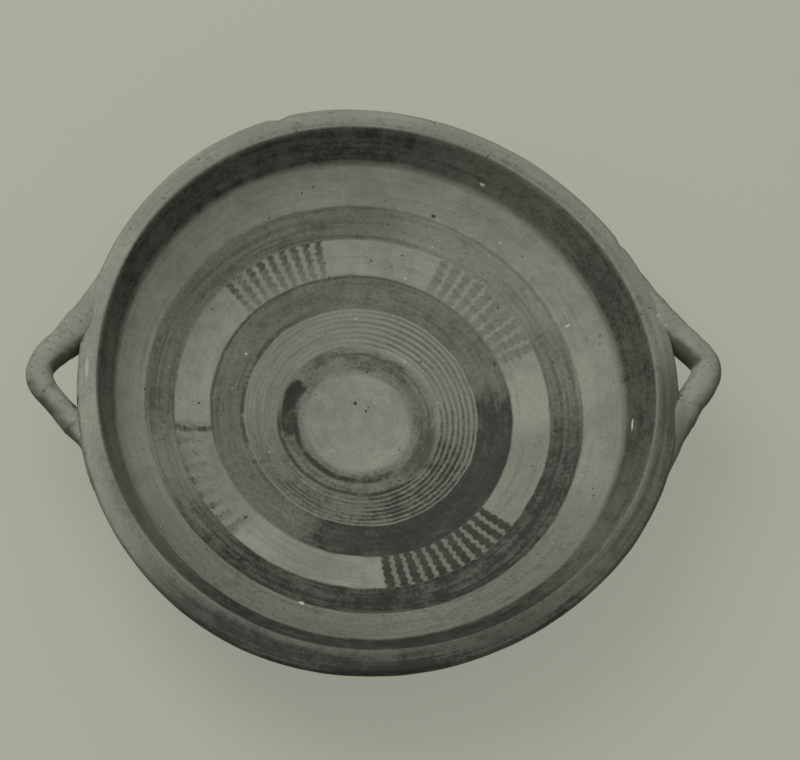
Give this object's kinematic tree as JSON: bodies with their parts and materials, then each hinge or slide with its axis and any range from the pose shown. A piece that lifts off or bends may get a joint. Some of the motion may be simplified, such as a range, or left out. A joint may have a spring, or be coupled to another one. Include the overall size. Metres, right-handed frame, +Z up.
{
  "type": "two-handled bowl",
  "caption": "Shallow round ceramic bowl on a low ring foot, with a flat lip, coil loop handles set at the rim, and painted bands and wavy strokes inside.",
  "frame": {"origin": "on the standing plane, midway between the tips of the two handles", "axes": "+X from the left handle to the right handle, +Y to the back as the picture shows it, +Z up out of the bowl"},
  "size_m": [0.3018, 0.2634, 0.0593],
  "materials": {
    "bowl": "matte",
    "foot_ring": "matte",
    "handle_right": "matte",
    "handle_left": "matte",
    "luting_right_back": "matte",
    "luting_right_front": "matte",
    "luting_left_back": "matte",
    "luting_left_front": "matte"
  },
  "bodies": {
    "root": {"bowl": "bowl", "foot_ring": "foot_ring", "handle_right": "handle_right", "handle_left": "handle_left", "luting_right_back": "luting_right_back", "luting_right_front": "luting_right_front", "luting_left_back": "luting_left_back", "luting_left_front": "luting_left_front"}
  },
  "joints": []
}
